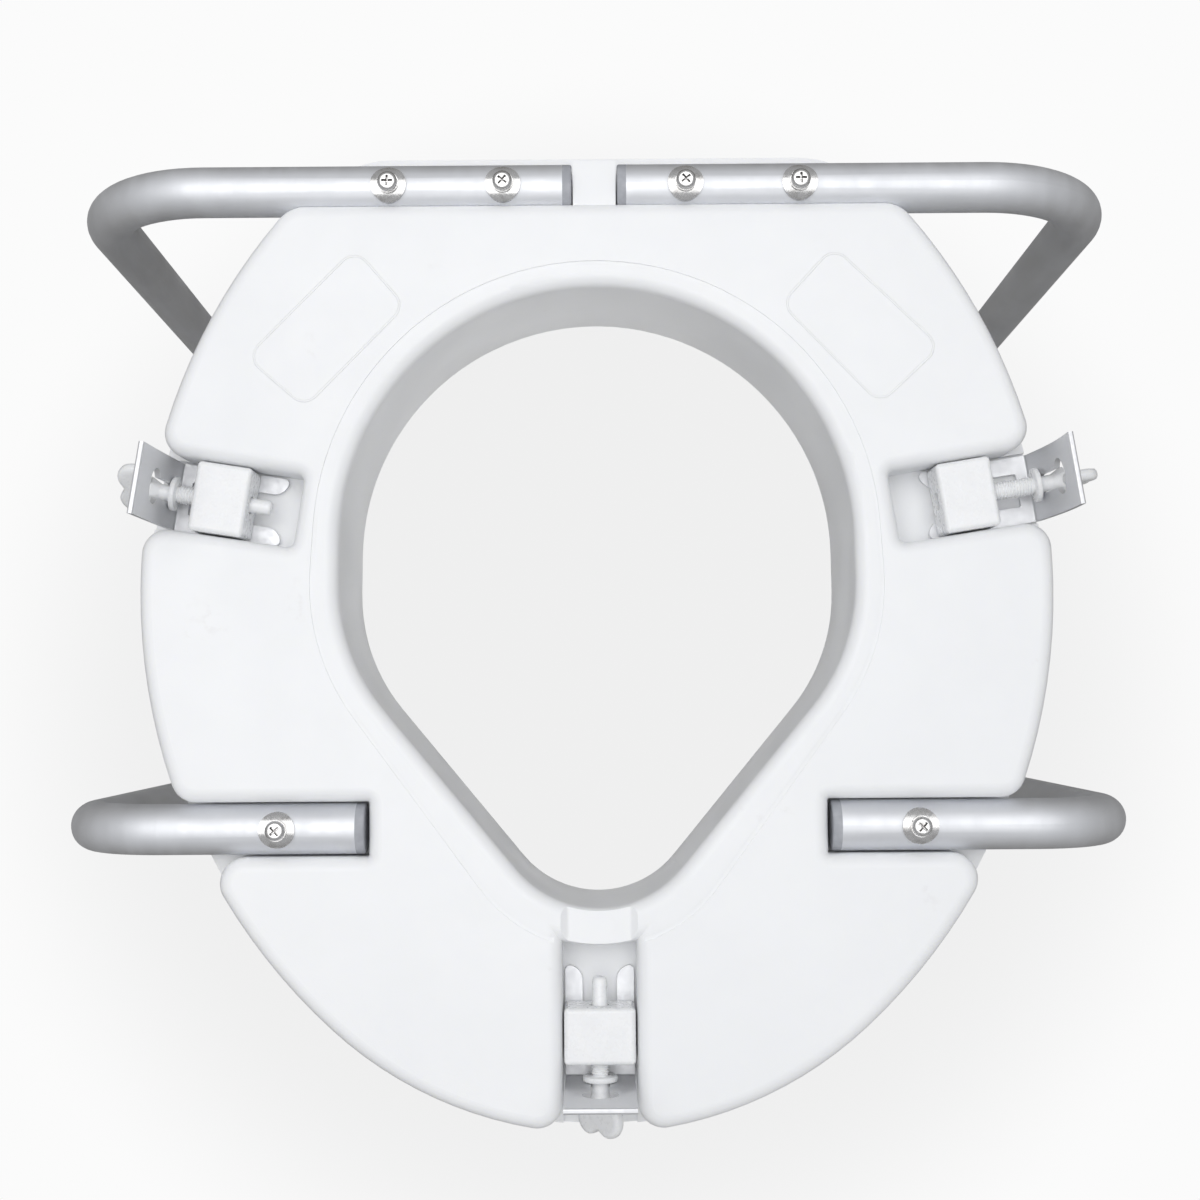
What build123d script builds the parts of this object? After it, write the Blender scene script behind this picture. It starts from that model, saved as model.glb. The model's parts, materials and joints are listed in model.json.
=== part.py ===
from build123d import *
from math import atan2, cos, degrees, radians, sin, sqrt, tan
import os

# Raised toilet seat with arm frames and three screw clamps, in millimetres.
# +Z is up, -Y is the front (the narrow end of the opening), +X is the sitter's left.
# The origin is under the middle of the whole seat, on the plane of the clamps' free edges.

# Seat: a hollow moulding whose underside is five pads parted by channels
seat_height = 100
wall = 3.5
half_width = 198
widest_y = 20
front_side_radius = 255
rear_side_radius = 254
front_y = -213
pad_rear_y = 188.6
lip_rear_y = 214.6
pad_rear_corner = 15
lip_rear_corner = 40
top_outer_round = 22
top_inner_round = 20
pad_edge_round = 6
pad_corner_round = 11

# Opening: the hull of a wide rear circle, two shoulder circles and a small front circle
opening_circles = ((0, 39.8, 111.8), (27, 22, 85), (-27, 22, 85), (0, -71.8, 46))
collar_widths = (10, 11, 11, 16)
collar_groove_half = 1
collar_groove_depth = 0.6
collar_notch_half = 16.5
collar_notch_base_half = 13.5
collar_notch_depth = 2.6
collar_notch_round = 2

# Clamp channels, measured outwards from one point on the centre line
clamp_centre_y = 33.4
side_clamp_tilt = 9
channel_width = 32
channel_depth = 25
channel_corner = 3
side_channel_start = 131
front_channel_start = 160
channel_end = 260

# Arm frames: one bent tube each side, its two feet lying in channels under the seat
tube_od = 22
tube_wall = 1.5
tube_play = 0.2
arm_x = 227
arm_rear_y = 197
arm_front_y = -83.5
arm_rest_rear_y = 180
arm_rest_front_y = -80
arm_rise = 325
rear_foot_bend_radius = 54
front_foot_bend_radius = 38
rest_bend_radius = 40
rear_foot_end = 14
front_foot_end = 104.4
tube_channel_width = 23.6
tube_channel_corner = 1
front_channel_inner = 98.6
rear_divider_half = 9.4
rear_divider_recess = 4
plug_head = 4
plug_depth = 14
plug_wall = 2
plug_head_round = 1
grip_od = 32
grip_length = 160
grip_play = 0.15
grip_end_round = 3.2

# Fasteners of the arm frames: M5 pan head screws with spring and saddle washers
screw_r = 2.5
screw_hole_r = 2.75
rear_screws_x = (40, 90)
front_screw_x = 137.6
saddle_washer_od = 15.6
saddle_washer_thick = 1.3
spring_washer_od = 9.2
spring_washer_thick = 1.3
spring_washer_slit = 0.8
spring_washer_turn = 30
head_od = 8.6
head_height = 3.3
recess_span = 4.8
recess_slot = 1.1
recess_depth = 2
recess_taper = 12
insert_od = 7
insert_length = 13
screw_end_play = 1
insert_boss_r = 8
thread_play = 0.02

# Clamps: forked angle bracket, nylon block fixed to the seat, nylon wing screw
bracket_width = 30
bracket_thick = 2.5
bracket_reach = 47.5
flange_drop = 66
slide_play = 0.3
fork_slot = 15
fork_root_round = 1
fork_end_margin = 5
tine_inner_round = 6.5
tine_outer_round = 2
bend_inner_round = 1
flange_tip_round = 0.8
keyhole_slot = 8.4
keyhole_r = 7.7
keyhole_drop = 40
screw_drop = 15
block_width = 30.4
block_length = 24
block_round = 2
stem_width = 14
stem_length = 18
stem_depth = 12
wing_screw_r = 4
wing_screw_play = 0.05
thread_length = 30
tail_length = 12
tail_r = 3.2
collar_r = 7.5
collar_thick = 2.4
collar_gap = 0.3
neck_r = 3.5
boss_r = 6
boss_length = 6
boss_gap = 2
wing_gap = 1
wing_thick = 5
wing_lobe_out = 7.3
wing_lobe_ahead = 11.2
wing_lobe_half_length = 7.6
wing_lobe_half_width = 6.2
wing_web_length = 12.6
wing_web_width = 13.5

# Clamp by clamp: direction of its axis, flange position at rest, the flange's outward lean and
# bow, the wing's turn, and where its block starts
left_angle = side_clamp_tilt
right_angle = 180 - side_clamp_tilt
left_clamp = {"angle": left_angle, "flange": 188, "lean": 1.3, "bow": 0.4, "wing_turn": -40, "block": 153}
right_clamp = {"angle": right_angle, "flange": 195.2, "lean": 2.2, "bow": 2.4, "wing_turn": 0, "block": 151}
front_clamp = {"angle": -90, "flange": 225.4, "lean": 0, "bow": 0.3, "wing_turn": 40, "block": 193}
clamps = {"left": left_clamp, "right": right_clamp, "front": front_clamp}

# Heights that follow from the above
bracket_top_z = flange_drop
clamp_floor_z = bracket_top_z + slide_play
pad_z = clamp_floor_z - channel_depth
tube_z = pad_z + tube_od / 2
tube_floor_z = pad_z + tube_od + tube_play
seat_top_z = pad_z + seat_height
wing_screw_z = bracket_top_z - screw_drop
arm_rest_z = pad_z + arm_rise
block_top_z = bracket_top_z - bracket_thick - slide_play

os.makedirs("parts", exist_ok=True)


def save(builder, name):
    """Label a finished piece and write it to its own file."""
    builder.part.label = name
    export_step(builder.part, f"parts/{name}.step")


def clamp_planes(angle, height=0):
    """Flat and upright planes whose local X runs outwards along a clamp's axis."""
    out = (cos(radians(angle)), sin(radians(angle)), 0)
    side = (out[1], -out[0], 0)
    origin = (0, clamp_centre_y, height)
    return Plane(origin=origin, x_dir=out, z_dir=(0, 0, 1)), Plane(origin=origin, x_dir=out, z_dir=side)


def cross_plane(flat, distance, height):
    """Plane across a clamp's axis, facing outwards, with its local Y upwards."""
    across = flat.x_dir.cross(flat.z_dir)
    return Plane(origin=flat.from_local_coords((distance, 0, height)), x_dir=-across, z_dir=flat.x_dir)


def flange_shift(clamp, drop):
    """How far outwards a clamp's flange stands at a given drop below the bracket's top."""
    share = drop / bracket_top_z
    splay = bracket_top_z * tan(radians(clamp["lean"]))
    return splay * share + 4 * clamp["bow"] * share * (1 - share)


def seat_outline(rear_y, corner, inset):
    """Egg-shaped plan of the seat, moved inwards by inset."""
    side_offset = front_side_radius - half_width
    length = widest_y - front_y
    nose_r = (front_side_radius**2 - side_offset**2 - length**2) / (2 * (front_side_radius - length))
    nose_y = front_y + nose_r
    turn = degrees(atan2(widest_y - nose_y, side_offset))
    rear_centre_x = half_width - rear_side_radius
    rear_r = rear_side_radius - inset
    rear_turn = degrees(atan2(rear_y - inset - widest_y, sqrt(rear_r**2 - (rear_y - inset - widest_y) ** 2)))
    with BuildSketch() as outline:
        with BuildLine():
            side = CenterArc((rear_centre_x, widest_y), rear_r, 0, rear_turn)
            Line(side @ 1, (0, rear_y - inset))
            CenterArc((-side_offset, widest_y), front_side_radius - inset, 0, -turn)
            CenterArc((0, nose_y), nose_r - inset, -turn, turn - 90)
            mirror(about=Plane.YZ)
        make_face()
        rear = outline.vertices().group_by(Axis.Y)[-1].sort_by(Axis.X)
        fillet([rear[0], rear[-1]], corner - inset)
    return outline.sketch


def opening_outline(growth):
    """Hull of the opening's four circles, each grown by its own amount."""
    with BuildSketch() as outline:
        for (x, y, radius), grow in zip(opening_circles, growth):
            with Locations((x, y)):
                Circle(radius + grow)
        make_hull()
    return outline.sketch


def clamp_channels(grow):
    """Plan of the three clamp channels, widened and deepened by grow."""
    starts = {"left": side_channel_start, "right": side_channel_start, "front": front_channel_start}
    with BuildSketch() as plan:
        for name, start in starts.items():
            length = channel_end - start + grow
            middle = (channel_end + start - grow) / 2
            angle = clamps[name]["angle"]
            where = Location(
                (middle * cos(radians(angle)), clamp_centre_y + middle * sin(radians(angle)), 0),
                (0, 0, angle),
            )
            with Locations(where):
                RectangleRounded(length, channel_width + 2 * grow, channel_corner + grow)
        # The front channel ends against the collar round the nose of the opening
        with Locations(opening_circles[3][:2]):
            Circle(opening_circles[3][2] + collar_widths[3] - grow, mode=Mode.SUBTRACT)
    return plan.sketch


def tube_channels(grow):
    """Plan of the two channels that hold the front feet of the arm frames."""
    with BuildSketch() as plan:
        middle = (channel_end + front_channel_inner - grow) / 2
        with Locations((middle, arm_front_y), (-middle, arm_front_y)):
            RectangleRounded(
                channel_end - front_channel_inner + grow,
                tube_channel_width + 2 * grow,
                tube_channel_corner + grow,
            )
    return plan.sketch


def screw_places(side):
    """The three screws of one arm frame: two in the rear foot, one in the front foot."""
    return [(side * x, arm_rear_y) for x in rear_screws_x] + [(side * front_screw_x, arm_front_y)]


def at_channel_mouth(corner):
    """True for the outer corners of the pads, where a channel leaves the seat."""
    near_tube = abs(corner.Y - arm_front_y) < channel_width and abs(corner.X) > side_channel_start
    slope = tan(radians(side_clamp_tilt))
    off_axis = abs(corner.Y - clamp_centre_y - slope * abs(corner.X)) * cos(radians(side_clamp_tilt))
    near_side = off_axis < channel_width and abs(corner.X) > front_channel_start
    near_front = abs(corner.X) < channel_width and corner.Y < -front_channel_start
    return near_tube or near_side or near_front


# Plans of the pads and of the cavity above them
outline_low = seat_outline(pad_rear_y, pad_rear_corner, 0)
outline_high = seat_outline(lip_rear_y, lip_rear_corner, 0)
cradle_y = arm_rear_y - tube_od / 2 - tube_play
cavity_low = seat_outline(cradle_y, pad_rear_corner, wall)
cavity_high = seat_outline(lip_rear_y, lip_rear_corner, wall)
opening = opening_outline((0, 0, 0, 0))
opening_walled = opening_outline((wall, wall, wall, wall))
groove_outer = opening_outline([width + collar_groove_half for width in collar_widths])
groove_inner = opening_outline([width - collar_groove_half for width in collar_widths])
clamp_plan = clamp_channels(0)
clamp_plan_walled = clamp_channels(wall)
tube_plan = tube_channels(0)
tube_plan_walled = tube_channels(wall)

insert_places = screw_places(1) + screw_places(-1)
stem_planes = []
for clamp in clamps.values():
    ceiling = clamp_planes(clamp["angle"], clamp_floor_z)[0]
    block_middle = ceiling.from_local_coords((clamp["block"] + block_length / 2, 0, 0))
    stem_planes.append(ceiling.shift_origin(block_middle))

# The notch runs forwards from the nose of the opening into the front clamp's channel
notch_section = Plane(origin=(0, opening_circles[3][1], pad_z), x_dir=(-1, 0, 0), z_dir=(0, -1, 0))
notch_reach = opening_circles[3][2] + collar_widths[3] + channel_corner

# Sealed air space inside the seat, one wall thickness from every outer face
with BuildPart() as cavity:
    with BuildSketch(Plane.XY.offset(clamp_floor_z + wall)):
        add(cavity_high)
        add(opening_walled, mode=Mode.SUBTRACT)
    extrude(amount=seat_top_z - wall - clamp_floor_z - wall)
    cavity_top = cavity.faces().sort_by(Axis.Z)[-1]
    fillet(cavity_top.outer_wire().edges(), top_outer_round - wall)
    fillet(cavity.faces().sort_by(Axis.Z)[-1].inner_wires()[0].edges(), top_inner_round - wall)
    with BuildSketch(Plane.XY.offset(pad_z + wall)) as cavity_pads:
        add(cavity_low)
        add(clamp_plan_walled, mode=Mode.SUBTRACT)
        add(tube_plan_walled, mode=Mode.SUBTRACT)
        fillet(cavity_pads.vertices().filter_by(at_channel_mouth), pad_corner_round - wall)
        add(opening_walled, mode=Mode.SUBTRACT)
    extrude(amount=channel_depth)
    # The shell steps up over the collar's notch
    with BuildSketch(notch_section):
        RectangleRounded(2 * (collar_notch_half + wall), 2 * (collar_notch_depth + wall), collar_notch_round)
    extrude(amount=notch_reach + wall, mode=Mode.SUBTRACT)
    # Bosses round the arm screws' inserts and the clamp blocks' stems stay solid
    with BuildSketch(Plane.XY.offset(tube_floor_z)):
        with Locations(insert_places):
            Circle(insert_boss_r)
    extrude(amount=insert_length + 2 * wall, mode=Mode.SUBTRACT)
    for stem_plane in stem_planes:
        with BuildSketch(stem_plane):
            RectangleRounded(stem_length + 2 * wall, stem_width + 2 * wall, channel_corner)
        extrude(amount=stem_depth + wall, mode=Mode.SUBTRACT)

with BuildPart() as seat_body:
    with BuildSketch(Plane.XY.offset(pad_z)) as pads:
        add(outline_low)
        add(clamp_plan, mode=Mode.SUBTRACT)
        add(tube_plan, mode=Mode.SUBTRACT)
        fillet(pads.vertices().filter_by(at_channel_mouth), pad_corner_round)
        add(opening, mode=Mode.SUBTRACT)
    extrude(amount=tube_floor_z - pad_z)
    fillet(seat_body.faces().filter_by(Axis.Z).group_by(Axis.Z)[0].edges(), pad_edge_round)
    # Shallow cradle for the rear feet of the arm frames along the pads' rear wall
    with Locations((0, arm_rear_y, tube_z)):
        Cylinder(tube_od / 2 + tube_play, 2 * channel_end, rotation=(0, 90, 0), mode=Mode.SUBTRACT)
    with BuildSketch(Plane.XY.offset(tube_floor_z)):
        add(outline_high)
        add(opening, mode=Mode.SUBTRACT)
    extrude(amount=seat_top_z - tube_floor_z)
    seat_top = seat_body.faces().sort_by(Axis.Z)[-1]
    fillet(seat_top.outer_wire().edges(), top_outer_round)
    fillet(seat_body.faces().sort_by(Axis.Z)[-1].inner_wires()[0].edges(), top_inner_round)
    # Clamp channels reach a little deeper than the tube channels
    with BuildSketch(Plane.XY.offset(tube_floor_z)):
        add(clamp_plan)
    extrude(amount=clamp_floor_z - tube_floor_z, mode=Mode.SUBTRACT)
    # Fine groove that sets the collar off from the pads, and the collar's notch at the front clamp
    with BuildSketch(Plane.XY.offset(pad_z)):
        add(groove_outer)
        add(groove_inner, mode=Mode.SUBTRACT)
    extrude(amount=collar_groove_depth, mode=Mode.SUBTRACT)
    with BuildSketch(notch_section) as notch:
        with BuildLine():
            Polyline(
                (-collar_notch_half, 0),
                (-collar_notch_base_half, -collar_notch_depth),
                (collar_notch_base_half, -collar_notch_depth),
                (collar_notch_half, 0),
            )
            mirror(about=Plane.XZ)
        make_face()
        deep_corners = notch.vertices().filter_by(lambda corner: abs(corner.Y) > collar_notch_depth / 2)
        fillet(deep_corners, collar_notch_round)
    extrude(amount=notch_reach, mode=Mode.SUBTRACT)
    # Divider between the rear ends of the two arm frames
    with BuildSketch(Plane.XY.offset(tube_floor_z)):
        divider_end = arm_rear_y + tube_od / 2
        divider_start = pad_rear_y - channel_corner
        with Locations((0, (divider_start + divider_end) / 2)):
            Rectangle(2 * rear_divider_half, divider_end - divider_start)
    extrude(amount=rear_divider_recess + pad_z - tube_floor_z)
    with BuildSketch(Plane.XY.offset(tube_floor_z)):
        with Locations(insert_places):
            Circle(insert_od / 2 + thread_play)
    extrude(amount=insert_length, mode=Mode.SUBTRACT)
    for stem_plane in stem_planes:
        with BuildSketch(stem_plane):
            RectangleRounded(stem_length + 2 * tube_play, stem_width + 2 * tube_play, channel_corner)
        extrude(amount=stem_depth + tube_play, mode=Mode.SUBTRACT)
    add(cavity.part, mode=Mode.SUBTRACT)
save(seat_body, "seat_body")


def build_arm_tube(side):
    """One arm frame, bent from its rear foot over the arm rest to its front foot."""
    start = (side * rear_foot_end, arm_rear_y, tube_z)
    corners = [
        (side * arm_x, arm_rear_y, tube_z),
        (side * arm_x, arm_rest_rear_y, arm_rest_z),
        (side * arm_x, arm_rest_front_y, arm_rest_z),
        (side * arm_x, arm_front_y, tube_z),
    ]
    end = (side * front_foot_end, arm_front_y, tube_z)
    bends = (rear_foot_bend_radius, rest_bend_radius, rest_bend_radius, front_foot_bend_radius)
    with BuildPart() as tube:
        with BuildLine():
            FilletPolyline(start, *corners, end, radius=bends)
        with BuildSketch(Plane(origin=start, z_dir=(side, 0, 0))):
            Circle(tube_od / 2)
            Circle(tube_od / 2 - tube_wall, mode=Mode.SUBTRACT)
        sweep()
        # Clearance holes for the three screws
        with Locations([(x, y, tube_z) for x, y in screw_places(side)]):
            Cylinder(screw_hole_r, tube_od + 2 * wall, mode=Mode.SUBTRACT)
    return tube


def build_grip(side):
    """Foam sleeve over the arm rest."""
    middle = (arm_rest_rear_y + arm_rest_front_y) / 2
    with BuildPart() as grip:
        with BuildSketch(Plane(origin=(side * arm_x, middle, arm_rest_z), z_dir=(0, 1, 0))):
            Circle(grip_od / 2)
            Circle(tube_od / 2 + grip_play, mode=Mode.SUBTRACT)
        extrude(amount=grip_length / 2, both=True)
        ends = grip.edges().filter_by(GeomType.CIRCLE).group_by(SortBy.RADIUS)[-1]
        fillet(ends, grip_end_round)
    return grip


def build_plug(side, foot_end, y):
    """Cap that closes one foot: a head outside the tube and a hollow stem inside it."""
    bore_r = tube_od / 2 - tube_wall - thread_play
    with BuildPart() as plug:
        with BuildSketch(Plane(origin=(side * foot_end, y, tube_z), z_dir=(-side, 0, 0))):
            Circle(tube_od / 2)
        extrude(amount=plug_head)
        fillet(plug.faces().sort_by(Axis.X)[0 if side > 0 else -1].edges(), plug_head_round)
        with BuildSketch(Plane(origin=(side * foot_end, y, tube_z), z_dir=(side, 0, 0))):
            Circle(bore_r)
            Circle(bore_r - plug_wall, mode=Mode.SUBTRACT)
        extrude(amount=plug_depth)
    return plug


def build_saddle_washers(side):
    """Washers curved to sit on the tube under each screw."""
    with BuildPart() as washers:
        for x, y in screw_places(side):
            with BuildSketch(Plane(origin=(x, y, tube_z), z_dir=(1, 0, 0))):
                Circle(tube_od / 2 + saddle_washer_thick)
                Circle(tube_od / 2, mode=Mode.SUBTRACT)
            extrude(amount=saddle_washer_od / 2, both=True)
        with BuildSketch(Plane.XY.offset(tube_z)):
            with Locations(screw_places(side)):
                Circle(saddle_washer_od / 2)
                Circle(screw_hole_r, mode=Mode.SUBTRACT)
        extrude(amount=-tube_od, mode=Mode.INTERSECT)
    return washers


def build_spring_washers(side):
    """Split rings between the saddle washers and the screw heads."""
    top_z = pad_z - saddle_washer_thick
    with BuildPart() as washers:
        with BuildSketch(Plane.XY.offset(top_z)):
            for x, y in screw_places(side):
                with Locations((x, y)):
                    Circle(spring_washer_od / 2)
                    Circle(screw_hole_r, mode=Mode.SUBTRACT)
                with Locations(Location((x, y, 0), (0, 0, spring_washer_turn))):
                    with Locations((spring_washer_od / 2, 0)):
                        Rectangle(spring_washer_od, spring_washer_slit, mode=Mode.SUBTRACT)
        extrude(amount=-spring_washer_thick)
    return washers


def build_screws(side):
    """Pan head screws with a cross recess, their thread drawn as a plain cylinder."""
    seat_z = pad_z - saddle_washer_thick - spring_washer_thick
    length = tube_floor_z + insert_length - screw_end_play - seat_z
    with BuildPart() as screws:
        for x, y in screw_places(side):
            with BuildSketch(Plane.XY.offset(seat_z)):
                with Locations((x, y)):
                    Circle(screw_r)
            extrude(amount=length)
            with BuildSketch(Plane.XY.offset(seat_z)):
                with Locations((x, y)):
                    Circle(head_od / 2)
            extrude(amount=-head_height)
        fillet(screws.faces().group_by(Axis.Z)[0].edges(), head_height / 2)
        with BuildSketch(Plane.XY.offset(seat_z - head_height)):
            # Each recess stands at its own angle
            for x, y in screw_places(side):
                with Locations(Location((x, y, 0), (0, 0, x))):
                    Rectangle(recess_span, recess_slot)
                    Rectangle(recess_slot, recess_span)
        extrude(amount=recess_depth, taper=recess_taper, mode=Mode.SUBTRACT)
    return screws


def build_inserts(side):
    """Threaded bushes moulded into the seat for the arm screws."""
    with BuildPart() as inserts:
        with BuildSketch(Plane.XY.offset(tube_floor_z)):
            with Locations(screw_places(side)):
                Circle(insert_od / 2)
                Circle(screw_r + thread_play, mode=Mode.SUBTRACT)
        extrude(amount=insert_length - thread_play)
    return inserts


def build_bracket(clamp):
    """Forked angle bracket: the plate slides over the block's stem, the flange hangs down."""
    flat, upright = clamp_planes(clamp["angle"])
    inner = clamp["flange"]
    outer = inner + bracket_thick
    splay = flange_shift(clamp, bracket_top_z)
    middle_z = bracket_top_z / 2
    middle_shift = flange_shift(clamp, middle_z)
    tip = inner - bracket_reach
    lower = bracket_top_z - bracket_thick
    root = inner + flange_shift(clamp, bracket_thick)
    with BuildPart() as bracket:
        with BuildSketch(upright) as profile:
            with BuildLine():
                ThreePointArc((outer, bracket_top_z), (outer + middle_shift, middle_z), (outer + splay, 0))
                Line((outer + splay, 0), (inner + splay, 0))
                ThreePointArc((inner + splay, 0), (inner + middle_shift, middle_z), (root, lower))
                Polyline((root, lower), (tip, lower), (tip, bracket_top_z), (outer, bracket_top_z))
            make_face()
            outer_bend = profile.vertices().sort_by_distance((outer, bracket_top_z))[0]
            fillet(outer_bend, bracket_thick + bend_inner_round)
            inner_bend = profile.vertices().sort_by_distance((root, lower))[0]
            fillet(inner_bend, bend_inner_round)
            fillet(profile.vertices().group_by(Axis.Y)[0], flange_tip_round)
        extrude(amount=bracket_width / 2, both=True)
        # The slot runs out past the tips, and stops short of the bend
        slot_start = tip - bracket_thick
        slot_end = inner - fork_end_margin
        with BuildSketch(flat.offset(lower)):
            with Locations(((slot_start + slot_end) / 2, 0)):
                RectangleRounded(slot_end - slot_start, fork_slot, fork_root_round)
        extrude(amount=bracket_thick, mode=Mode.SUBTRACT)
        upright_edges = bracket.edges().filter_by(Axis.Z)
        at_tip = upright_edges.sort_by(lambda edge: flat.to_local_coords(edge.center()).X)[:4]
        across = at_tip.sort_by(lambda edge: abs(flat.to_local_coords(edge.center()).Y))
        fillet(across[:2], tine_inner_round)
        outer_tips = bracket.edges().filter_by(Axis.Z).sort_by(
            lambda edge: flat.to_local_coords(edge.center()).X - abs(flat.to_local_coords(edge.center()).Y)
        )[:2]
        fillet(outer_tips, tine_outer_round)
        # Keyhole: the large hole lets the screw's collar through, the slot then holds its neck
        with BuildSketch(cross_plane(flat, inner - collar_r, 0)):
            with Locations((0, bracket_top_z - keyhole_drop)):
                Circle(keyhole_r)
            with Locations((0, bracket_top_z - (keyhole_drop + screw_drop) / 2)):
                Rectangle(keyhole_slot, keyhole_drop - screw_drop)
            with Locations((0, wing_screw_z)):
                Circle(keyhole_slot / 2)
        extrude(amount=3 * collar_r, mode=Mode.SUBTRACT)
    return bracket


def build_block(clamp):
    """Nylon block that the wing screw turns in, with a stem through the fork into the seat."""
    flat = clamp_planes(clamp["angle"])[0]
    middle = clamp["block"] + block_length / 2
    with BuildPart() as block:
        with BuildSketch(flat.offset(pad_z)):
            with Locations((middle, 0)):
                Rectangle(block_length, block_width)
        extrude(amount=block_top_z - pad_z)
        fillet(block.edges(), block_round)
        with BuildSketch(flat.offset(block_top_z - block_round)):
            with Locations((middle, 0)):
                RectangleRounded(stem_length, stem_width, channel_corner)
        extrude(amount=clamp_floor_z + stem_depth - block_top_z + block_round)
        with BuildSketch(cross_plane(flat, clamp["block"], wing_screw_z)):
            Circle(wing_screw_r + wing_screw_play)
        extrude(amount=block_length, mode=Mode.SUBTRACT)
    return block


def build_wing_screw(clamp):
    """Wing screw held by its neck in the bracket, its thread drawn as a plain cylinder."""
    flat, upright = clamp_planes(clamp["angle"])
    collar_end = clamp["flange"] + flange_shift(clamp, screw_drop - collar_r) - collar_gap
    boss_start = clamp["flange"] + flange_shift(clamp, screw_drop) + bracket_thick + boss_gap
    with BuildPart() as screw:
        with BuildSketch(cross_plane(flat, collar_end - collar_thick, wing_screw_z)):
            Circle(collar_r)
        extrude(amount=collar_thick)
        fillet(screw.edges(), collar_thick / 4)
        with BuildSketch(cross_plane(flat, collar_end - collar_thick, wing_screw_z)):
            Circle(wing_screw_r)
        extrude(amount=-thread_length)
        with BuildSketch(cross_plane(flat, collar_end - collar_thick - thread_length, wing_screw_z)):
            Circle(tail_r)
        extrude(amount=-tail_length)
        with BuildSketch(cross_plane(flat, collar_end, wing_screw_z)):
            Circle(neck_r)
        extrude(amount=boss_start - collar_end)
        with BuildSketch(cross_plane(flat, boss_start, wing_screw_z)):
            Circle(boss_r)
        extrude(amount=boss_length)
        # Two rounded wings joined by a web, turned about the screw's own axis
        turn = radians(clamp["wing_turn"])
        wing_normal = upright.z_dir * cos(turn) + Vector(0, 0, 1) * sin(turn)
        wing_start = flat.from_local_coords((boss_start + wing_gap, 0, wing_screw_z))
        with BuildSketch(Plane(origin=wing_start, x_dir=flat.x_dir, z_dir=wing_normal)):
            with Locations((wing_lobe_ahead, wing_lobe_out), (wing_lobe_ahead, -wing_lobe_out)):
                Ellipse(wing_lobe_half_length, wing_lobe_half_width)
            with Locations((wing_web_length / 2, 0)):
                Rectangle(wing_web_length, wing_web_width)
        extrude(amount=wing_thick / 2, both=True)
    return screw


for side, side_name in ((1, "left"), (-1, "right")):
    save(build_arm_tube(side), f"arm_tube_{side_name}")
    save(build_grip(side), f"arm_grip_{side_name}")
    save(build_plug(side, rear_foot_end, arm_rear_y), f"rear_plug_{side_name}")
    save(build_plug(side, front_foot_end, arm_front_y), f"front_plug_{side_name}")
    save(build_screws(side), f"arm_screws_{side_name}")
    save(build_saddle_washers(side), f"saddle_washers_{side_name}")
    save(build_spring_washers(side), f"spring_washers_{side_name}")
    save(build_inserts(side), f"screw_inserts_{side_name}")

for clamp_name, clamp in clamps.items():
    save(build_bracket(clamp), f"clamp_bracket_{clamp_name}")
    save(build_block(clamp), f"clamp_block_{clamp_name}")
    save(build_wing_screw(clamp), f"wing_screw_{clamp_name}")
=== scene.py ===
import json
import math

import bpy
import numpy as np
from mathutils import Matrix, Vector


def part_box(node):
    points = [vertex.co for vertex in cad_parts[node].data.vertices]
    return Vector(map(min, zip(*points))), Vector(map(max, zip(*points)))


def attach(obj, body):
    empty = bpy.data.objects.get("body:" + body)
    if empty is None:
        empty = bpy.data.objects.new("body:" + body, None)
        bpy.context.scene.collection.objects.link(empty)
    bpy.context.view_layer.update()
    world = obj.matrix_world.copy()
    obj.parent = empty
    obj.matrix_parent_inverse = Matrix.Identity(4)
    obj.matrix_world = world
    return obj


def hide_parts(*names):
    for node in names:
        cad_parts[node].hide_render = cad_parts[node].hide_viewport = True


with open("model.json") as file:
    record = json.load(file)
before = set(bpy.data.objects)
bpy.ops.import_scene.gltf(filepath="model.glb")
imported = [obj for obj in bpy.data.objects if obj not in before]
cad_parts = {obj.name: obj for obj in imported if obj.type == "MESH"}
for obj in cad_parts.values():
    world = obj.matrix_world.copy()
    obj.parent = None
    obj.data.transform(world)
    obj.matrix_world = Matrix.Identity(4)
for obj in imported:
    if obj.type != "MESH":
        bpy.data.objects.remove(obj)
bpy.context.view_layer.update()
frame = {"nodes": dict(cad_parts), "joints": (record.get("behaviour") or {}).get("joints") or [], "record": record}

nodes = frame["nodes"]
sides = ("left", "right")
clamps = ("left", "right", "front")
pad_z = frame["record"]["mounts"][0]["pos_m"][2]
mm = 0.001


# Shader helpers

def new_material(name, color, roughness, metallic=0.0):
    """A node material with one Principled BSDF, and the shader itself, starting from plain values."""
    material = bpy.data.materials.new(name)
    material.use_nodes = True
    shader = material.node_tree.nodes["Principled BSDF"]
    shader.inputs["Base Color"].default_value = (*color, 1)
    shader.inputs["Roughness"].default_value = roughness
    shader.inputs["Metallic"].default_value = metallic
    return material, shader


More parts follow.
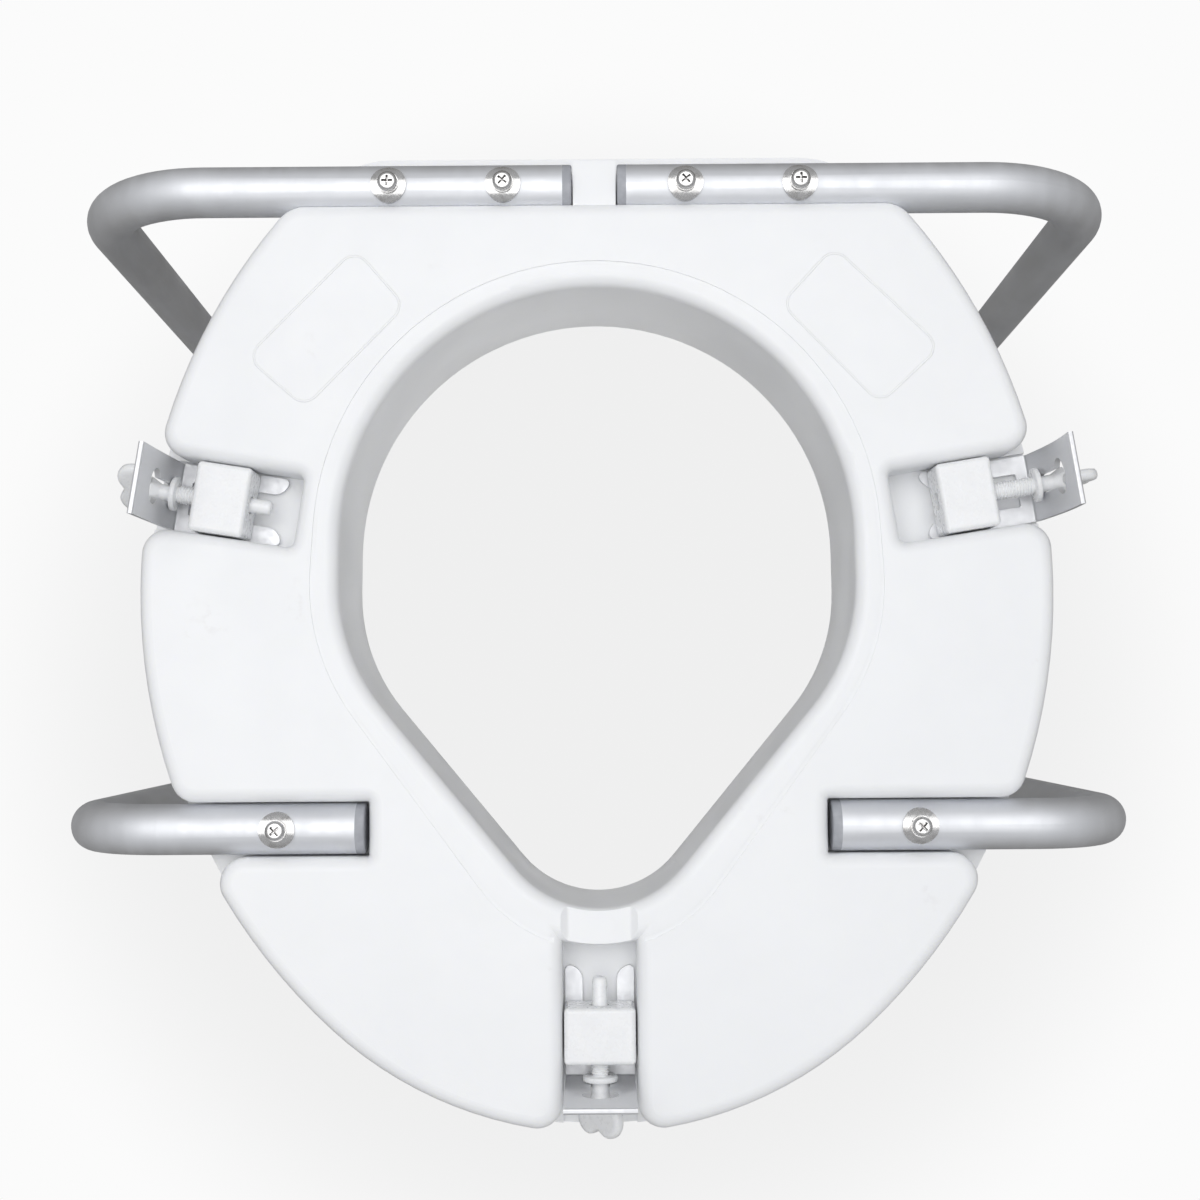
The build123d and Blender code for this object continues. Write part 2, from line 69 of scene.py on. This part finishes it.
class Graph:
    """Short calls for building a material's nodes."""

    def __init__(self, material):
        self.tree = material.node_tree
        coordinates = self.tree.nodes.new("ShaderNodeTexCoord")
        self.place = coordinates.outputs["Object"]

    def link(self, a, b):
        self.tree.links.new(a, b)

    def noise(self, scale, detail=4, roughness=0.55, stretch=None, distortion=0.0):
        node = self.tree.nodes.new("ShaderNodeTexNoise")
        node.inputs["Scale"].default_value = scale
        node.inputs["Detail"].default_value = detail
        node.inputs["Roughness"].default_value = roughness
        node.inputs["Distortion"].default_value = distortion
        self.link(self.stretched(stretch), node.inputs["Vector"])
        return node.outputs["Fac"]

    def cells(self, scale):
        node = self.tree.nodes.new("ShaderNodeTexVoronoi")
        node.inputs["Scale"].default_value = scale
        self.link(self.place, node.inputs["Vector"])
        return node.outputs["Distance"]

    def stretched(self, stretch):
        if stretch is None:
            return self.place
        node = self.tree.nodes.new("ShaderNodeMapping")
        node.inputs["Scale"].default_value = stretch
        self.link(self.place, node.inputs["Vector"])
        return node.outputs["Vector"]

    def span(self, value, low, high, out_low=0.0, out_high=1.0):
        node = self.tree.nodes.new("ShaderNodeMapRange")
        node.interpolation_type = "SMOOTHSTEP"
        node.inputs["From Min"].default_value = low
        node.inputs["From Max"].default_value = high
        node.inputs["To Min"].default_value = out_low
        node.inputs["To Max"].default_value = out_high
        self.link(value, node.inputs["Value"])
        return node.outputs["Result"]

    def math(self, operation, a, b=None):
        node = self.tree.nodes.new("ShaderNodeMath")
        node.operation = operation
        for socket, value in zip(node.inputs, (a, b)):
            if value is None:
                continue
            if isinstance(value, (int, float)):
                socket.default_value = value
            else:
                self.link(value, socket)
        return node.outputs["Value"]

    def mix(self, factor, a, b):
        node = self.tree.nodes.new("ShaderNodeMix")
        node.data_type = "RGBA"
        self.link(factor, node.inputs["Factor"])
        for socket, value in ((node.inputs[6], a), (node.inputs[7], b)):
            if isinstance(value, tuple):
                socket.default_value = (*value, 1)
            else:
                self.link(value, socket)
        return node.outputs[2]

    def bump(self, height, distance, strength=1.0, after=None):
        node = self.tree.nodes.new("ShaderNodeBump")
        node.inputs["Distance"].default_value = distance
        node.inputs["Strength"].default_value = strength
        self.link(height, node.inputs["Height"])
        if after is not None:
            self.link(after, node.inputs["Normal"])
        return node.outputs["Normal"]

    def split(self, vector):
        node = self.tree.nodes.new("ShaderNodeSeparateXYZ")
        self.link(vector, node.inputs["Vector"])
        return node.outputs

    def pointiness(self):
        return self.tree.nodes.new("ShaderNodeNewGeometry").outputs["Pointiness"]


parting_line_rise = 52 * mm


def seat_material():
    """Blow-moulded white polyethylene: faint mottling, fine grain, scuffs, a parting line, and painted shade in
    concave corners.
    """
    material, shader = new_material("seat_polyethylene", (0.86, 0.87, 0.88), 0.42)
    graph = Graph(material)
    mottle = graph.noise(9, 5, 0.6)
    patches = graph.noise(26, 3, 0.5, distortion=0.8)
    clean = graph.mix(graph.span(mottle, 0.35, 0.68), (0.868, 0.876, 0.888), (0.892, 0.898, 0.907))
    scratches = graph.span(graph.noise(240, 4), 0.48, 0.66)
    scuffs = graph.math("MULTIPLY", graph.span(patches, 0.66, 0.78), scratches)
    soiled = graph.mix(graph.math("MULTIPLY", scuffs, 0.35), clean, (0.72, 0.70, 0.69))
    # Painted shade: concave corners and creases are tinted warm grey, standing in for the shade that falls there
    corners = graph.span(graph.pointiness(), 0.40, 0.485, 0.28, 0.0)
    graph.link(graph.mix(corners, soiled, (0.70, 0.69, 0.66)), shader.inputs["Base Color"])
    sheen = graph.span(graph.noise(34, 4, 0.6), 0.3, 0.75, 0.34, 0.50)
    graph.link(sheen, shader.inputs["Roughness"])
    grain = graph.bump(graph.noise(1500, 3, 0.6), 0.00006, 0.35)
    flow = graph.bump(graph.noise(55, 2, 0.45), 0.0012, 0.10, grain)
    # Parting line of the mould, half way up the seat's side
    height = graph.split(graph.place)[2]
    away = graph.math("ABSOLUTE", graph.math("SUBTRACT", height, pad_z + parting_line_rise))
    line = graph.span(away, 0.0002, 0.0007, 1.0, 0.0)
    graph.link(graph.bump(line, 0.0002, 0.6, flow), shader.inputs["Normal"])
    shader.inputs["Specular IOR Level"].default_value = 0.42
    shader.inputs["Subsurface Weight"].default_value = 0.22
    shader.inputs["Subsurface Radius"].default_value = (0.006, 0.006, 0.007)
    return material


def tube_material():
    """Satin anodised tube: fine drawing lines along it, faint handling marks and dull patches."""
    material, shader = new_material("anodised_tube", (0.80, 0.81, 0.83), 0.45, 1.0)
    graph = Graph(material)
    cloud = graph.noise(42, 4, 0.55)
    smear = graph.noise(160, 5, 0.65, stretch=(1, 0.25, 0.25))
    tint = graph.mix(graph.span(cloud, 0.35, 0.7), (0.785, 0.795, 0.82), (0.82, 0.83, 0.855))
    marks = graph.span(graph.noise(420, 4, 0.7, distortion=1.5), 0.70, 0.80, 0.0, 0.3)
    graph.link(graph.mix(marks, tint, (0.52, 0.52, 0.54)), shader.inputs["Base Color"])
    graph.link(graph.span(smear, 0.3, 0.72, 0.55, 0.63), shader.inputs["Roughness"])
    grit = graph.bump(graph.noise(5200, 2, 0.5), 0.00003, 0.5)
    graph.link(graph.bump(graph.noise(900, 3, 0.5), 0.00006, 0.2, grit), shader.inputs["Normal"])
    return material


def sheet_material():
    """Rolled aluminium sheet with a faint grain and a painted highlight: a brighter colour on its convex edges."""
    material, shader = new_material("rolled_aluminium", (0.66, 0.67, 0.68), 0.38, 1.0)
    graph = Graph(material)
    grain = graph.noise(380, 5, 0.6, stretch=(1, 1, 0.12))
    cloud = graph.noise(90, 3, 0.5)
    base = graph.mix(graph.span(cloud, 0.35, 0.7), (0.65, 0.665, 0.69), (0.70, 0.71, 0.73))
    # Painted highlight: convex edges get a brighter colour, standing in for the light they catch
    painted_edge_highlight = graph.span(graph.pointiness(), 0.515, 0.56)
    graph.link(graph.mix(painted_edge_highlight, base, (0.76, 0.765, 0.78)), shader.inputs["Base Color"])
    graph.link(graph.span(grain, 0.3, 0.7, 0.48, 0.60), shader.inputs["Roughness"])
    graph.link(graph.bump(grain, 0.00006, 0.35), shader.inputs["Normal"])
    return material


def steel_material():
    """Bright stainless steel, turned and slightly smeared, with painted shade darkening its crevices."""
    material, shader = new_material("bright_steel", (0.80, 0.79, 0.78), 0.2, 1.0)
    graph = Graph(material)
    fog = graph.noise(700, 4, 0.6)
    stain = graph.mix(graph.span(graph.noise(260, 3), 0.45, 0.75), (0.60, 0.595, 0.59), (0.46, 0.45, 0.44))
    # Painted shade: concave spots such as the cross recess and under the head turn nearly black
    painted_crevice_shade = graph.span(graph.pointiness(), 0.44, 0.495, 0.75, 0.0)
    graph.link(graph.mix(painted_crevice_shade, stain, (0.16, 0.15, 0.15)), shader.inputs["Base Color"])
    graph.link(graph.span(fog, 0.3, 0.7, 0.18, 0.32), shader.inputs["Roughness"])
    graph.link(graph.bump(graph.noise(3200, 3), 0.00003, 0.25), shader.inputs["Normal"])
    return material


def nylon_material():
    """White moulded nylon: a little translucent, glossy with uneven polish."""
    material, shader = new_material("white_nylon", (0.86, 0.86, 0.85), 0.3)
    graph = Graph(material)
    milk = graph.mix(graph.span(graph.noise(120, 4), 0.35, 0.7), (0.865, 0.872, 0.88), (0.84, 0.848, 0.856))
    graph.link(milk, shader.inputs["Base Color"])
    graph.link(graph.span(graph.noise(420, 4, 0.6), 0.3, 0.7, 0.22, 0.38), shader.inputs["Roughness"])
    graph.link(graph.bump(graph.noise(900, 3), 0.00005, 0.06), shader.inputs["Normal"])
    shader.inputs["Subsurface Weight"].default_value = 0.25
    shader.inputs["Subsurface Radius"].default_value = (0.004, 0.0038, 0.0034)
    return material


def plug_material():
    """Grey moulded plastic of the foot caps."""
    material, shader = new_material("grey_cap", (0.40, 0.41, 0.44), 0.5)
    graph = Graph(material)
    tone = graph.mix(graph.span(graph.noise(180, 4), 0.35, 0.7), (0.35, 0.36, 0.39), (0.42, 0.43, 0.46))
    graph.link(tone, shader.inputs["Base Color"])
    graph.link(graph.span(graph.noise(500, 3), 0.3, 0.7, 0.42, 0.6), shader.inputs["Roughness"])
    graph.link(graph.bump(graph.noise(2400, 3), 0.00005, 0.4), shader.inputs["Normal"])
    return material


def foam_material():
    """Closed-cell foam: pores, a dull skin and slight rub marks."""
    material, shader = new_material("grip_foam", (0.035, 0.035, 0.038), 0.85)
    graph = Graph(material)
    pores = graph.cells(1100)
    skin = graph.noise(70, 5, 0.6)
    tone = graph.mix(graph.span(skin, 0.35, 0.7), (0.028, 0.028, 0.031), (0.055, 0.055, 0.058))
    rub = graph.math("MULTIPLY", graph.span(graph.noise(14, 3), 0.5, 0.7), graph.span(pores, 0.1, 0.5))
    worn = graph.mix(graph.math("MULTIPLY", rub, 0.5), tone, (0.10, 0.10, 0.105))
    graph.link(worn, shader.inputs["Base Color"])
    graph.link(graph.span(skin, 0.3, 0.7, 0.72, 0.92), shader.inputs["Roughness"])
    dents = graph.bump(graph.span(pores, 0.0, 0.45), 0.00022, 0.55)
    graph.link(graph.bump(graph.noise(160, 3), 0.0006, 0.25, dents), shader.inputs["Normal"])
    shader.inputs["Sheen Weight"].default_value = 0.15
    return material


def brass_material():
    """Turned brass of the inserts."""
    material, shader = new_material("insert_brass", (0.60, 0.44, 0.18), 0.35, 1.0)
    graph = Graph(material)
    tone = graph.mix(graph.span(graph.noise(300, 4), 0.35, 0.7), (0.55, 0.39, 0.15), (0.66, 0.5, 0.24))
    graph.link(tone, shader.inputs["Base Color"])
    graph.link(graph.span(graph.noise(600, 3), 0.3, 0.7, 0.25, 0.45), shader.inputs["Roughness"])
    return material


seat_look = seat_material()
tube_look = tube_material()
sheet_look = sheet_material()
steel_look = steel_material()
nylon_look = nylon_material()
plug_look = plug_material()
foam_look = foam_material()
brass_look = brass_material()

looks = {
    "seat_body": seat_look, "arm_tube": tube_look, "clamp_bracket": sheet_look, "clamp_block": nylon_look,
    "wing_screw": nylon_look, "rear_plug": plug_look, "front_plug": plug_look, "arm_grip": foam_look,
    "arm_screws": steel_look, "saddle_washers": steel_look, "spring_washers": steel_look,
    "screw_inserts": brass_look,
}
for name, node in nodes.items():
    look = next(look for start, look in looks.items() if name.startswith(start))
    node.data.materials.clear()
    node.data.materials.append(look)


# Mesh helpers

def mesh_object(name, points, faces, material, smooth=True):
    mesh = bpy.data.meshes.new(name)
    mesh.from_pydata([tuple(p) for p in points], [], faces)
    mesh.update()
    if smooth:
        mesh.polygons.foreach_set("use_smooth", [True] * len(mesh.polygons))
    piece = bpy.data.objects.new(name, mesh)
    bpy.context.scene.collection.objects.link(piece)
    mesh.materials.append(material)
    return piece


def rings_to_faces(ring_count, around, first=0):
    """Quads between rings, with a closing face at each end."""
    faces = []
    for i in range(ring_count - 1):
        for k in range(around):
            a, b = first + i * around + k, first + i * around + (k + 1) % around
            faces.append((a, b, b + around, a + around))
    faces.append(tuple(first + k for k in reversed(range(around))))
    faces.append(tuple(first + (ring_count - 1) * around + k for k in range(around)))
    return faces


# Wing screws, along their own axis from the flange's inner face: the thread is a real helix

screw_around = 48
thread_steps = 10
thread_pitch = 1.25 * mm
thread_r, thread_cut = 3.98 * mm, 0.62 * mm
thread_length, tail_length, tail_r = 30 * mm, 12 * mm, 3.2 * mm
# The collar's outline: (distance past the thread, radius), in millimetres
collar_profile = ((0, 7.0), (0.15, 7.3), (0.5, 7.5), (1.9, 7.5), (2.25, 7.3), (2.4, 7.0))
collar_thick = 2.4 * mm
neck_r, head_r = 3.5 * mm, 6 * mm
flange_thick = 2.5 * mm
head_gap, head_length = 2 * mm, 6 * mm
wing_turns = {"left": -40, "right": 0, "front": 40}
# Each flange leans and bows, so its collar and its inner face at the screw stand a little off the joint
collar_places = {"left": 0.03 * mm, "right": 0.96 * mm, "front": -0.18 * mm}
face_places = {"left": 0.62 * mm, "right": 2.26 * mm, "front": 0.21 * mm}

# The wing: a flat oval with a notch in its outer side, which makes two lobes, and a waist at its root
wing_around = 96
wing_middle, wing_half_length = 14.4 * mm, 8.9 * mm
wing_half_width, wing_half_thick = 13.4 * mm, 2.5 * mm
wing_notch, wing_notch_width = 0.42, 0.36
wing_waist, wing_waist_width = 0.25, 0.5
wing_squareness = 0.85
wing_start = 1 * mm
# How the wing's edge is rounded: (share of the outline, share of the half thickness)
wing_section = ((0.45, -0.92), (0.80, -1), (0.93, -0.86), (0.985, -0.5), (1.0, 0),
                (0.985, 0.5), (0.93, 0.86), (0.80, 1), (0.45, 0.92))


def screw_rings(thread_start, thread_end, head_start):
    """(distance along the axis, radius, kind) for the screw's whole length."""
    tail_end = thread_start - tail_length
    head_end = head_start + head_length
    rings = [
        (tail_end, 1.6 * mm, "round"),
        (tail_end + 0.3 * mm, 2.4 * mm, "round"),
        (tail_end + 1 * mm, 3.0 * mm, "round"),
        (tail_end + 2 * mm, tail_r, "round"),
        (thread_start - 0.4 * mm, tail_r, "round"),
    ]
    count = int((thread_end - thread_start) / thread_pitch * thread_steps)
    for i in range(count + 1):
        x = thread_start + (thread_end - thread_start) * i / count
        rings.append((x, thread_r, "thread"))
    rings += [(thread_end + x * mm, r * mm, "round") for x, r in collar_profile]
    collar_end = thread_end + collar_thick
    rings += [
        (collar_end, 3.7 * mm, "round"),
        (collar_end + 0.3 * mm, neck_r, "round"),
        (head_start - 0.2 * mm, neck_r, "round"),
        (head_start, 3.6 * mm, "round"),
        (head_start + 3.6 * mm, 5.6 * mm, "hex"),
        (head_start + 4.4 * mm, head_r, "hex"),
        (head_end - 0.6 * mm, head_r, "hex"),
        (head_end - 0.15 * mm, 5.8 * mm, "hex"),
        (head_end, 5.3 * mm, "hex"),
    ]
    return rings


def screw_points(rings, thread_start, thread_end):
    """Ring points in the screw's frame: x along the axis, y and z across it."""
    points = []
    for x, radius, kind in rings:
        for k in range(screw_around):
            angle = 2 * math.pi * k / screw_around
            r = radius
            if kind == "thread":
                phase = (x / thread_pitch - k / screw_around) % 1
                ridge = min(1.0, max(0.0, 1.6 * (1 - abs(2 * phase - 1)) - 0.2))
                fade = min(1.0, (x - thread_start) / thread_pitch, (thread_end - x) / thread_pitch)
                r = radius - thread_cut * (1 - ridge * fade)
            if kind == "hex":
                sixth = math.pi / 3
                r = radius * math.cos(sixth / 2) / math.cos((angle % sixth) - sixth / 2)
            points.append((x, r * math.cos(angle), r * math.sin(angle)))
    return points


def wing_grid():
    """Two-lobed flat wing as rings round its outline, from the face through the edge to the other face."""
    outline = []
    for k in range(wing_around):
        angle = 2 * math.pi * k / wing_around
        sine, cosine = math.sin(angle), math.cos(angle)
        lobe = 1 - wing_notch * math.exp(-((sine / wing_notch_width) ** 2)) * (cosine > 0)
        neck = 1 - wing_waist * math.exp(-((sine / wing_waist_width) ** 2)) * (cosine < 0)
        reach = math.copysign(abs(cosine) ** wing_squareness, cosine)
        outline.append((wing_middle + wing_half_length * reach * lobe * neck, wing_half_width * sine))
    centre = wing_middle - 1.5 * mm
    points = []
    for share, height in wing_section:
        for x, y in outline:
            points.append((centre + (x - centre) * share, y * share, wing_half_thick * height))
    return points, rings_to_faces(len(wing_section), wing_around)


def build_wing_screw(clamp):
    joint = next(j for j in frame["joints"] if j["name"] == f"{clamp}_screw_turn")
    out = Vector(joint["axis"])
    side = Vector((out.y, -out.x, 0))
    thread_end = collar_places[clamp] - collar_thick
    thread_start = thread_end - thread_length
    head_start = face_places[clamp] + flange_thick + head_gap
    rings = screw_rings(thread_start, thread_end, head_start)
    points = screw_points(rings, thread_start, thread_end)
    faces = rings_to_faces(len(rings), screw_around)
    wing_points, wing_faces = wing_grid()
    turn = math.radians(wing_turns[clamp])
    normal = Vector((0, math.cos(turn), math.sin(turn)))
    across = Vector((0, -math.sin(turn), math.cos(turn)))
    offset = len(points)
    shift = face_places[clamp] + wing_start
    for x, y, z in wing_points:
        points.append(Vector((x + shift, 0, 0)) + across * y + normal * z)
    faces += [tuple(i + offset for i in face) for face in wing_faces]
    # Screw frame: x is the axis, y the side direction, z straight up
    basis = Matrix((out, side, Vector((0, 0, 1)))).transposed()
    origin = Vector(joint["pos_m"])
    placed = [origin + basis @ Vector(p) for p in points]
    if basis.determinant() < 0:
        faces = [tuple(reversed(face)) for face in faces]
    piece = mesh_object(f"wing_screw_moulded_{clamp}", placed, faces, nylon_look)
    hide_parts(f"wing_screw_{clamp}")
    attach(piece, f"screw_{clamp}")


for clamp in clamps:
    build_wing_screw(clamp)


# Foam grips: a skinned sleeve, fuller in the middle, with soft rolled ends

grip_around, grip_steps = 64, 60
grip_bore_r = 11.15 * mm
grip_roll = 4.5 * mm
grip_inset = 0.6 * mm
grip_swell, grip_ripple, grip_ripples = 0.25 * mm, 0.12 * mm, 9


def build_grip(side_name):
    low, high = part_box(f"arm_grip_{side_name}")
    centre = (low + high) / 2
    skin_r = (high.x - low.x) / 2 - grip_inset
    half = (high.y - low.y) / 2
    profile = []
    for i in range(grip_steps + 1):
        t = i / grip_steps
        y = -half + grip_roll + 2 * (half - grip_roll) * t
        swell = grip_swell * math.sin(math.pi * t) + grip_ripple * math.sin(grip_ripples * math.pi * t)
        profile.append((y, skin_r + swell))
    rolled = []
    for angle in np.linspace(0.15, 1.0, 6) * math.pi / 2:
        rolled.append((grip_roll * (1 - math.sin(angle)), skin_r - grip_roll * (1 - math.cos(angle)) * 0.9))
    first = [(-half + d, r) for d, r in reversed(rolled)]
    last = [(half - d, r) for d, r in rolled]
    lip_r = (rolled[-1][1] + grip_bore_r) / 2 + 1 * mm
    mouth = [(half, lip_r), (half - 0.4 * mm, grip_bore_r + 0.7 * mm), (half - 1.4 * mm, grip_bore_r)]
    bore = mouth + [(-y, r) for y, r in reversed(mouth)]
    line = first + profile + last + bore
    points, faces = [], []
    for y, r in line:
        for k in range(grip_around):
            a = 2 * math.pi * k / grip_around
            points.append((centre.x + r * math.sin(a), centre.y + y, centre.z + r * math.cos(a)))
    count = len(line)
    for i in range(count):
        here, there = i * grip_around, ((i + 1) % count) * grip_around
        for k in range(grip_around):
            beside = (k + 1) % grip_around
            faces.append((here + k, there + k, there + beside, here + beside))
    piece = mesh_object(f"grip_sleeve_{side_name}", points, faces, foam_look)
    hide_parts(f"arm_grip_{side_name}")
    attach(piece, "seat")


for side_name in sides:
    build_grip(side_name)


# Moulded frames on the two rear pads: a fine raised line round a plain field

label_corners = {
    "left": ((0.1045, 0.1685), (0.0827, 0.1431), (0.1261, 0.0989), (0.1516, 0.1210)),
    "right": ((-0.1043, 0.1680), (-0.1501, 0.1236), (-0.1233, 0.0987), (-0.0812, 0.1429)),
}
ridge_half, ridge_height, ridge_root = 0.55 * mm, 0.22 * mm, 0.3 * mm
label_corner_round = 7 * mm


def rounded_loop(corners, radius, steps=8):
    """Closed loop through the corners, each rounded by an arc."""
    loop = []
    count = len(corners)
    for i in range(count):
        before, here, after = (Vector(corners[(i + k) % count]) for k in (-1, 0, 1))
        a, b = (before - here).normalized(), (after - here).normalized()
        half = math.acos(max(-1, min(1, a.dot(b)))) / 2
        start, stop = here + a * radius / math.tan(half), here + b * radius / math.tan(half)
        centre = here + (a + b).normalized() * radius / math.sin(half)
        first, last = start - centre, stop - centre
        sweep = math.acos(max(-1, min(1, first.normalized().dot(last.normalized()))))
        for k in range(steps + 1):
            t = k / steps
            arm = (first * math.sin((1 - t) * sweep) + last * math.sin(t * sweep)) / math.sin(sweep)
            loop.append(centre + arm)
    return loop


def build_label_frame(side_name):
    loop = rounded_loop(label_corners[side_name], label_corner_round)
    count = len(loop)
    shoulder, shoulder_height = ridge_half * 0.6, ridge_height * 0.8
    section = ((-ridge_half, ridge_root), (-ridge_half, 0), (-shoulder, -shoulder_height), (0, -ridge_height),
               (shoulder, -shoulder_height), (ridge_half, 0), (ridge_half, ridge_root))
    points, faces = [], []
    for i in range(count):
        along = (loop[(i + 1) % count] - loop[i - 1]).normalized()
        across = Vector((along.y, -along.x))
        for offset, rise in section:
            place = loop[i] + across * offset
            points.append((place.x, place.y, pad_z + rise))
    width = len(section)
    for i in range(count):
        for k in range(width):
            a, b = i * width + k, i * width + (k + 1) % width
            c, d = ((i + 1) % count) * width + (k + 1) % width, ((i + 1) % count) * width + k
            faces.append((a, b, c, d))
    piece = mesh_object(f"label_frame_{side_name}", points, faces, seat_look)
    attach(piece, "seat")


for side_name in sides:
    build_label_frame(side_name)


# Stage: a pale floor that shows only from above, because the main view looks up at the underside

floor_reach, floor_z = 60.0, -0.5 * mm


def build_floor():
    corners = ((-1, -1), (1, -1), (1, 1), (-1, 1))
    points = [(x * floor_reach, y * floor_reach, floor_z) for x, y in corners]
    material, shader = new_material("pale_floor", (0.88, 0.88, 0.88), 0.75)
    # A little light of its own keeps the floor pale a long way off
    shader.inputs["Emission Color"].default_value = (1, 1, 1, 1)
    shader.inputs["Emission Strength"].default_value = 0.2
    tree = material.node_tree
    output = tree.nodes["Material Output"]
    geometry = tree.nodes.new("ShaderNodeNewGeometry")
    path = tree.nodes.new("ShaderNodeLightPath")
    shown = tree.nodes.new("ShaderNodeMath")
    shown.operation = "SUBTRACT"
    tree.links.new(path.outputs["Is Camera Ray"], shown.inputs[0])
    tree.links.new(geometry.outputs["Backfacing"], shown.inputs[1])
    shown.use_clamp = True
    clear = tree.nodes.new("ShaderNodeBsdfTransparent")
    blend = tree.nodes.new("ShaderNodeMixShader")
    tree.links.new(shown.outputs["Value"], blend.inputs["Fac"])
    tree.links.new(clear.outputs["BSDF"], blend.inputs[1])
    tree.links.new(shader.outputs["BSDF"], blend.inputs[2])
    tree.links.new(blend.outputs["Shader"], output.inputs["Surface"])
    floor = mesh_object("studio_floor", points, [(0, 1, 2, 3)], material, smooth=False)


build_floor()


# Surroundings: pale for the camera, and for everything else bright and cool below, dim and warm above

def build_world():
    world = bpy.data.worlds.new("studio")
    bpy.context.scene.world = world
    world.use_nodes = True
    tree = world.node_tree
    tree.nodes.clear()
    coordinates = tree.nodes.new("ShaderNodeTexCoord")
    split = tree.nodes.new("ShaderNodeSeparateXYZ")
    tree.links.new(coordinates.outputs["Generated"], split.inputs["Vector"])
    ramp_in = tree.nodes.new("ShaderNodeMapRange")
    ramp_in.inputs["From Min"].default_value = -1
    ramp_in.inputs["From Max"].default_value = 1
    tree.links.new(split.outputs["Z"], ramp_in.inputs["Value"])
    ramp = tree.nodes.new("ShaderNodeValToRGB")
    cool, warm = (0.985, 0.997, 1.02), (1.02, 1.0, 0.96)
    # From straight down to straight up: (position, brightness, tint)
    stops = ((0.0, 0.55, cool), (0.2, 0.55, cool), (0.36, 0.48, cool), (0.5, 0.33, warm),
             (0.62, 0.25, warm), (0.76, 0.17, warm), (0.88, 0.12, warm), (1.0, 0.11, warm))
    while len(ramp.color_ramp.elements) < len(stops):
        ramp.color_ramp.elements.new(0.5)
    for element, (position, value, tint) in zip(ramp.color_ramp.elements, stops):
        element.position = position
        element.color = (*(value * channel for channel in tint), 1)
    tree.links.new(ramp_in.outputs["Result"], ramp.inputs["Fac"])
    lighting = tree.nodes.new("ShaderNodeBackground")
    lighting.inputs["Strength"].default_value = 1.0
    tree.links.new(ramp.outputs["Color"], lighting.inputs["Color"])
    seen = tree.nodes.new("ShaderNodeBackground")
    # What shows through the opening, straight above the camera, is a little greyer than the rest
    overhead = tree.nodes.new("ShaderNodeMapRange")
    overhead.interpolation_type = "SMOOTHSTEP"
    overhead.inputs["From Min"].default_value = 0.935
    overhead.inputs["From Max"].default_value = 0.975
    overhead.inputs["To Min"].default_value = 0.965
    overhead.inputs["To Max"].default_value = 0.865
    tree.links.new(split.outputs["Z"], overhead.inputs["Value"])
    tree.links.new(overhead.outputs["Result"], seen.inputs["Color"])
    path = tree.nodes.new("ShaderNodeLightPath")
    blend = tree.nodes.new("ShaderNodeMixShader")
    tree.links.new(path.outputs["Is Camera Ray"], blend.inputs["Fac"])
    tree.links.new(lighting.outputs["Background"], blend.inputs[1])
    tree.links.new(seen.outputs["Background"], blend.inputs[2])
    output = tree.nodes.new("ShaderNodeOutputWorld")
    tree.links.new(blend.outputs["Shader"], output.inputs["Surface"])


build_world()


def area_light(name, place, target, size, power, mirrored=True):
    data = bpy.data.lights.new(name, "AREA")
    data.shape = "DISK"
    data.size = size
    data.energy = power
    light = bpy.data.objects.new(name, data)
    light.location = place
    light.rotation_mode = "QUATERNION"
    light.rotation_quaternion = (Vector(target) - Vector(place)).to_track_quat("-Z", "Y")
    light.visible_glossy = mirrored
    bpy.context.scene.collection.objects.link(light)


area_light("under_softbox", (0.12, 0.25, -1.7), (0, 0, 0.05), 1.8, 18)
area_light("overhead_softbox", (0, 0, 1.7), (0, 0, 0.2), 1.6, 25, mirrored=False)
area_light("front_softbox", (-1.5, -1.6, 1.1), (0, 0, 0.15), 1.3, 10, mirrored=False)


# Camera: under the seat and looking up, leaning a little to the rear

camera_distance, camera_forward = 750 * mm, 33 * mm
camera_place = Vector((0, -camera_forward, pad_z - camera_distance))
lean, roll = math.radians(3.6), math.radians(0.4)
across = Vector((-1, 0, 0))
upward = Vector((0, math.cos(lean), -math.sin(lean)))
ahead = Vector((0, math.sin(lean), math.cos(lean)))
right = across * math.cos(roll) - upward * math.sin(roll)
top = across * math.sin(roll) + upward * math.cos(roll)
camera_data = bpy.data.cameras.new("camera")
camera_data.sensor_width = 36
camera_data.lens = 52.35
camera_data.shift_x = 0.0025
camera_data.clip_start = 0.01
camera = bpy.data.objects.new("camera", camera_data)
camera.matrix_world = Matrix.Translation(camera_place) @ Matrix((right, top, -ahead)).transposed().to_4x4()
bpy.context.scene.collection.objects.link(camera)
bpy.context.scene.camera = camera
bpy.context.scene.view_settings.view_transform = "Standard"
